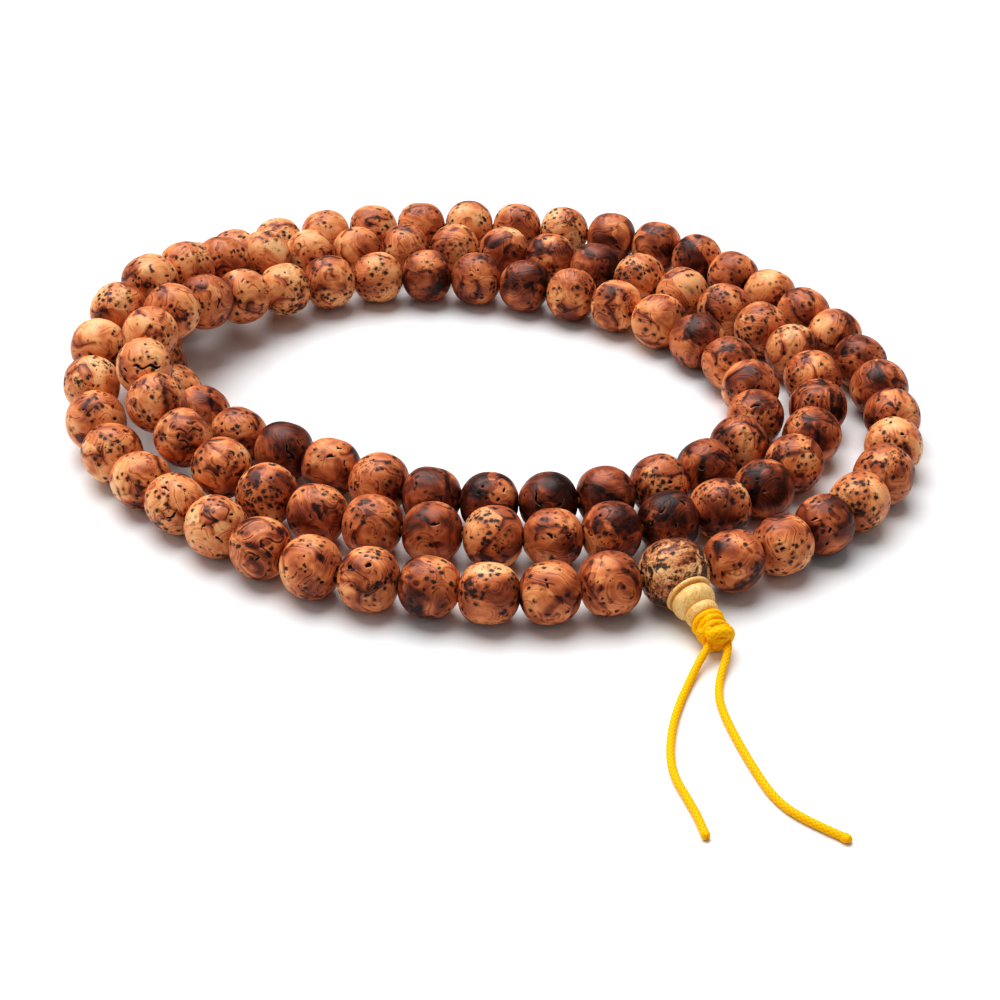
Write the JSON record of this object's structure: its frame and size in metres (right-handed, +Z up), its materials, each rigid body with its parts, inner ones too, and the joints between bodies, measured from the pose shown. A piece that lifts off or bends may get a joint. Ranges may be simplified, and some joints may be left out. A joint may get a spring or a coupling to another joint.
{
  "type": "prayer beads",
  "caption": "Mala of drilled wooden seed beads on one cord, laid in three turns, with a larger three-hole bead, a turned tower, a wrapped knot and two free cord tails.",
  "frame": {"origin": "middle of the laid strand's bounding box, on the surface that it lies on, without the two free tails", "axes": "+Z up from the surface, +X to the right and +Y away as seen from the side of the guru bead, whose tower and tails point to -Y"},
  "size_m": [0.1486, 0.1749, 0.019],
  "materials": {
    "seed": "polished brown seed, mottled",
    "guru_seed": "polished tan seed with dark mottling",
    "boxwood": "pale turned wood, satin",
    "cord": "round braided nylon, saffron yellow"
  },
  "bodies": {
    "strand": {"stringing_cord": "cord", "guru_bead": "guru_seed", "guru_knot": "cord", "tail_left": "cord", "tail_right": "cord", "beads_turn_1": "seed", "beads_turn_2": "seed", "beads_turn_3": "seed"},
    "tower": {"guru_tower": "boxwood"},
    "bead_002": {"bead_002": "seed"},
    "bead_004": {"bead_004": "seed"},
    "bead_006": {"bead_006": "seed"},
    "bead_008": {"bead_008": "seed"},
    "bead_010": {"bead_010": "seed"},
    "bead_012": {"bead_012": "seed"},
    "bead_014": {"bead_014": "seed"},
    "bead_016": {"bead_016": "seed"},
    "bead_018": {"bead_018": "seed"},
    "bead_020": {"bead_020": "seed"},
    "bead_022": {"bead_022": "seed"},
    "bead_024": {"bead_024": "seed"},
    "bead_026": {"bead_026": "seed"},
    "bead_028": {"bead_028": "seed"},
    "bead_030": {"bead_030": "seed"},
    "bead_032": {"bead_032": "seed"},
    "bead_034": {"bead_034": "seed"},
    "bead_036": {"bead_036": "seed"},
    "bead_038": {"bead_038": "seed"},
    "bead_040": {"bead_040": "seed"},
    "bead_042": {"bead_042": "seed"},
    "bead_044": {"bead_044": "seed"},
    "bead_046": {"bead_046": "seed"},
    "bead_048": {"bead_048": "seed"},
    "bead_050": {"bead_050": "seed"},
    "bead_052": {"bead_052": "seed"},
    "bead_054": {"bead_054": "seed"},
    "bead_056": {"bead_056": "seed"},
    "bead_058": {"bead_058": "seed"},
    "bead_060": {"bead_060": "seed"},
    "bead_062": {"bead_062": "seed"},
    "bead_064": {"bead_064": "seed"},
    "bead_066": {"bead_066": "seed"},
    "bead_068": {"bead_068": "seed"},
    "bead_070": {"bead_070": "seed"},
    "bead_072": {"bead_072": "seed"},
    "bead_074": {"bead_074": "seed"},
    "bead_076": {"bead_076": "seed"},
    "bead_078": {"bead_078": "seed"},
    "bead_086": {"bead_086": "seed"},
    "bead_088": {"bead_088": "seed"},
    "bead_090": {"bead_090": "seed"},
    "bead_092": {"bead_092": "seed"},
    "bead_094": {"bead_094": "seed"},
    "bead_096": {"bead_096": "seed"},
    "bead_098": {"bead_098": "seed"},
    "bead_100": {"bead_100": "seed"},
    "bead_102": {"bead_102": "seed"},
    "bead_104": {"bead_104": "seed"},
    "bead_106": {"bead_106": "seed"},
    "bead_108": {"bead_108": "seed"}
  },
  "joints": [
    {"name": "tower_spin", "type": "hinge", "parent": "strand", "child": "tower", "pos_m": [0.0315, -0.05977, 0.0042], "axis": [0.4205, -0.8851, -0.1994], "continuous": true},
    {"name": "bead_002_spin", "type": "hinge", "parent": "strand", "child": "bead_002", "pos_m": [0.00943, -0.05813, 0.00506], "axis": [-0.9864, -0.1628, -0.021], "continuous": true},
    {"name": "bead_004_spin", "type": "hinge", "parent": "strand", "child": "bead_004", "pos_m": [-0.0089, -0.0571, 0.005], "axis": [-0.9789, 0.2045, 0.0001], "continuous": true},
    {"name": "bead_006_spin", "type": "hinge", "parent": "strand", "child": "bead_006", "pos_m": [-0.02737, -0.05222, 0.005], "axis": [-0.9102, 0.4142, 0], "continuous": true},
    {"name": "bead_008_spin", "type": "hinge", "parent": "strand", "child": "bead_008", "pos_m": [-0.04324, -0.04181, 0.00499], "axis": [-0.787, 0.617, -0.0026], "continuous": true},
    {"name": "bead_010_spin", "type": "hinge", "parent": "strand", "child": "bead_010", "pos_m": [-0.05723, -0.02888, 0.00501], "axis": [-0.681, 0.7322, 0.0095], "continuous": true},
    {"name": "bead_012_spin", "type": "hinge", "parent": "strand", "child": "bead_012", "pos_m": [-0.06734, -0.01278, 0.00612], "axis": [-0.3173, 0.9393, 0.1309], "continuous": true},
    {"name": "bead_014_spin", "type": "hinge", "parent": "strand", "child": "bead_014", "pos_m": [-0.0695, 0.00537, 0.01001], "axis": [0.1021, 0.9581, 0.2676], "continuous": true},
    {"name": "bead_016_spin", "type": "hinge", "parent": "strand", "child": "bead_016", "pos_m": [-0.06266, 0.02219, 0.01403], "axis": [0.5543, 0.8323, -0.0047], "continuous": true},
    {"name": "bead_018_spin", "type": "hinge", "parent": "strand", "child": "bead_018", "pos_m": [-0.05142, 0.03732, 0.0102], "axis": [0.6299, 0.7329, -0.257], "continuous": true},
    {"name": "bead_020_spin", "type": "hinge", "parent": "strand", "child": "bead_020", "pos_m": [-0.03595, 0.0481, 0.00635], "axis": [0.9186, 0.3715, -0.1349], "continuous": true},
    {"name": "bead_022_spin", "type": "hinge", "parent": "strand", "child": "bead_022", "pos_m": [-0.01753, 0.05326, 0.00502], "axis": [0.9964, 0.0851, -0.0031], "continuous": true},
    {"name": "bead_024_spin", "type": "hinge", "parent": "strand", "child": "bead_024", "pos_m": [0.00194, 0.05241, 0.00501], "axis": [0.9885, -0.1514, -0.0026], "continuous": true},
    {"name": "bead_026_spin", "type": "hinge", "parent": "strand", "child": "bead_026", "pos_m": [0.0198, 0.04634, 0.005], "axis": [0.9029, -0.4299, 0], "continuous": true},
    {"name": "bead_028_spin", "type": "hinge", "parent": "strand", "child": "bead_028", "pos_m": [0.03616, 0.03631, 0.005], "axis": [0.8136, -0.5814, 0], "continuous": true},
    {"name": "bead_030_spin", "type": "hinge", "parent": "strand", "child": "bead_030", "pos_m": [0.04998, 0.02304, 0.00501], "axis": [0.5926, -0.8055, 0.0016], "continuous": true},
    {"name": "bead_032_spin", "type": "hinge", "parent": "strand", "child": "bead_032", "pos_m": [0.05725, 0.00526, 0.00501], "axis": [0.1113, -0.9938, -0.0016], "continuous": true},
    {"name": "bead_034_spin", "type": "hinge", "parent": "strand", "child": "bead_034", "pos_m": [0.05477, -0.01354, 0.005], "axis": [-0.3268, -0.9451, 0], "continuous": true},
    {"name": "bead_036_spin", "type": "hinge", "parent": "strand", "child": "bead_036", "pos_m": [0.04481, -0.02961, 0.005], "axis": [-0.7298, -0.6836, 0], "continuous": true},
    {"name": "bead_038_spin", "type": "hinge", "parent": "strand", "child": "bead_038", "pos_m": [0.02866, -0.03935, 0.005], "axis": [-0.9297, -0.3684, 0], "continuous": true},
    {"name": "bead_040_spin", "type": "hinge", "parent": "strand", "child": "bead_040", "pos_m": [0.0101, -0.04395, 0.005], "axis": [-0.9954, -0.0959, 0], "continuous": true},
    {"name": "bead_042_spin", "type": "hinge", "parent": "strand", "child": "bead_042", "pos_m": [-0.00891, -0.04293, 0.00502], "axis": [-0.9916, 0.1291, -0.001], "continuous": true},
    {"name": "bead_044_spin", "type": "hinge", "parent": "strand", "child": "bead_044", "pos_m": [-0.02753, -0.03835, 0.00526], "axis": [-0.9268, 0.3729, 0.0454], "continuous": true},
    {"name": "bead_046_spin", "type": "hinge", "parent": "strand", "child": "bead_046", "pos_m": [-0.04384, -0.02835, 0.00722], "axis": [-0.766, 0.6264, 0.1446], "continuous": true},
    {"name": "bead_048_spin", "type": "hinge", "parent": "strand", "child": "bead_048", "pos_m": [-0.05624, -0.01446, 0.0109], "axis": [-0.4856, 0.8422, 0.2342], "continuous": true},
    {"name": "bead_050_spin", "type": "hinge", "parent": "strand", "child": "bead_050", "pos_m": [-0.05975, 0.00315, 0.01399], "axis": [0.1379, 0.9875, 0.0763], "continuous": true},
    {"name": "bead_052_spin", "type": "hinge", "parent": "strand", "child": "bead_052", "pos_m": [-0.05269, 0.02031, 0.01106], "axis": [0.5461, 0.7689, -0.3325], "continuous": true},
    {"name": "bead_054_spin", "type": "hinge", "parent": "strand", "child": "bead_054", "pos_m": [-0.03954, 0.03384, 0.00646], "axis": [0.7875, 0.5979, -0.1492], "continuous": true},
    {"name": "bead_056_spin", "type": "hinge", "parent": "strand", "child": "bead_056", "pos_m": [-0.02238, 0.0417, 0.00503], "axis": [0.9832, 0.1822, -0.0082], "continuous": true},
    {"name": "bead_058_spin", "type": "hinge", "parent": "strand", "child": "bead_058", "pos_m": [-0.00321, 0.04153, 0.005], "axis": [0.9807, -0.1957, 0], "continuous": true},
    {"name": "bead_060_spin", "type": "hinge", "parent": "strand", "child": "bead_060", "pos_m": [0.01498, 0.03545, 0.005], "axis": [0.9255, -0.3786, 0], "continuous": true},
    {"name": "bead_062_spin", "type": "hinge", "parent": "strand", "child": "bead_062", "pos_m": [0.03106, 0.0255, 0.00501], "axis": [0.7312, -0.6822, 0], "continuous": true},
    {"name": "bead_064_spin", "type": "hinge", "parent": "strand", "child": "bead_064", "pos_m": [0.04276, 0.01039, 0.005], "axis": [0.4772, -0.8788, 0], "continuous": true},
    {"name": "bead_066_spin", "type": "hinge", "parent": "strand", "child": "bead_066", "pos_m": [0.0457, -0.00782, 0.00501], "axis": [-0.214, -0.9768, 0.0015], "continuous": true},
    {"name": "bead_068_spin", "type": "hinge", "parent": "strand", "child": "bead_068", "pos_m": [0.03589, -0.02371, 0.00501], "axis": [-0.7784, -0.6278, -0.0015], "continuous": true},
    {"name": "bead_070_spin", "type": "hinge", "parent": "strand", "child": "bead_070", "pos_m": [0.01893, -0.03231, 0.005], "axis": [-0.9558, -0.294, 0], "continuous": true},
    {"name": "bead_072_spin", "type": "hinge", "parent": "strand", "child": "bead_072", "pos_m": [0, -0.0342, 0.005], "axis": [-0.9995, 0.0325, 0], "continuous": true},
    {"name": "bead_074_spin", "type": "hinge", "parent": "strand", "child": "bead_074", "pos_m": [-0.01814, -0.02913, 0.005], "axis": [-0.8556, 0.5176, 0], "continuous": true},
    {"name": "bead_076_spin", "type": "hinge", "parent": "strand", "child": "bead_076", "pos_m": [-0.03462, -0.01989, 0.005], "axis": [-0.8983, 0.4394, 0], "continuous": true},
    {"name": "bead_078_spin", "type": "hinge", "parent": "strand", "child": "bead_078", "pos_m": [-0.04982, -0.00899, 0.00503], "axis": [-0.673, 0.7397, -0.0001], "continuous": true},
    {"name": "bead_086_spin", "type": "hinge", "parent": "strand", "child": "bead_086", "pos_m": [-0.04289, 0.05547, 0.00496], "axis": [0.9121, 0.4098, 0.0102], "continuous": true},
    {"name": "bead_088_spin", "type": "hinge", "parent": "strand", "child": "bead_088", "pos_m": [-0.02429, 0.06132, 0.00503], "axis": [0.9726, 0.2326, -0.0043], "continuous": true},
    {"name": "bead_090_spin", "type": "hinge", "parent": "strand", "child": "bead_090", "pos_m": [-0.00507, 0.06364, 0.00503], "axis": [0.9998, -0.0222, 0], "continuous": true},
    {"name": "bead_092_spin", "type": "hinge", "parent": "strand", "child": "bead_092", "pos_m": [0.01414, 0.06146, 0.005], "axis": [0.9786, -0.2059, -0.0002], "continuous": true},
    {"name": "bead_094_spin", "type": "hinge", "parent": "strand", "child": "bead_094", "pos_m": [0.0324, 0.05581, 0.005], "axis": [0.8874, -0.4611, 0], "continuous": true},
    {"name": "bead_096_spin", "type": "hinge", "parent": "strand", "child": "bead_096", "pos_m": [0.04656, 0.04338, 0.005], "axis": [0.6497, -0.7602, 0], "continuous": true},
    {"name": "bead_098_spin", "type": "hinge", "parent": "strand", "child": "bead_098", "pos_m": [0.05848, 0.02881, 0.005], "axis": [0.5497, -0.8354, 0], "continuous": true},
    {"name": "bead_100_spin", "type": "hinge", "parent": "strand", "child": "bead_100", "pos_m": [0.06643, 0.01149, 0.005], "axis": [0.2816, -0.9595, 0], "continuous": true},
    {"name": "bead_102_spin", "type": "hinge", "parent": "strand", "child": "bead_102", "pos_m": [0.06949, -0.00712, 0.005], "axis": [-0.03, -0.9995, 0], "continuous": true},
    {"name": "bead_104_spin", "type": "hinge", "parent": "strand", "child": "bead_104", "pos_m": [0.06517, -0.02521, 0.005], "axis": [-0.436, -0.8999, 0], "continuous": true},
    {"name": "bead_106_spin", "type": "hinge", "parent": "strand", "child": "bead_106", "pos_m": [0.05347, -0.03962, 0.005], "axis": [-0.747, -0.6649, -0.0001], "continuous": true},
    {"name": "bead_108_spin", "type": "hinge", "parent": "strand", "child": "bead_108", "pos_m": [0.03805, -0.0499, 0.00525], "axis": [-0.8993, -0.4331, 0.0609], "continuous": true}
  ]
}
